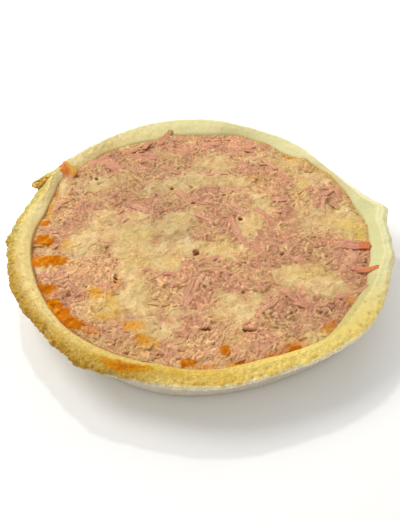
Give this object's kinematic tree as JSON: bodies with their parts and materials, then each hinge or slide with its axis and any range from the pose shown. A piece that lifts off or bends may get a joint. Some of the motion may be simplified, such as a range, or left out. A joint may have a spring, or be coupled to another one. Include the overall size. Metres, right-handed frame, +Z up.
{
  "type": "quiche",
  "caption": "Whole round savoury tart: a baked pastry case with a flared, crumbling rim, filled level with custard, ham strips and melted cheese.",
  "frame": {"origin": "centre of the flat underside of the pastry case", "axes": "+Z up out of the filling, -Y towards the side shown nearest in the picture, +X to that view's right"},
  "size_m": [0.259, 0.2558, 0.0359],
  "materials": {
    "pastry": "matte, crumbly baked pastry",
    "filling": "satin, moist baked custard with ham and cheese"
  },
  "bodies": {
    "root": {"crust": "pastry", "filling": "filling"}
  },
  "joints": []
}
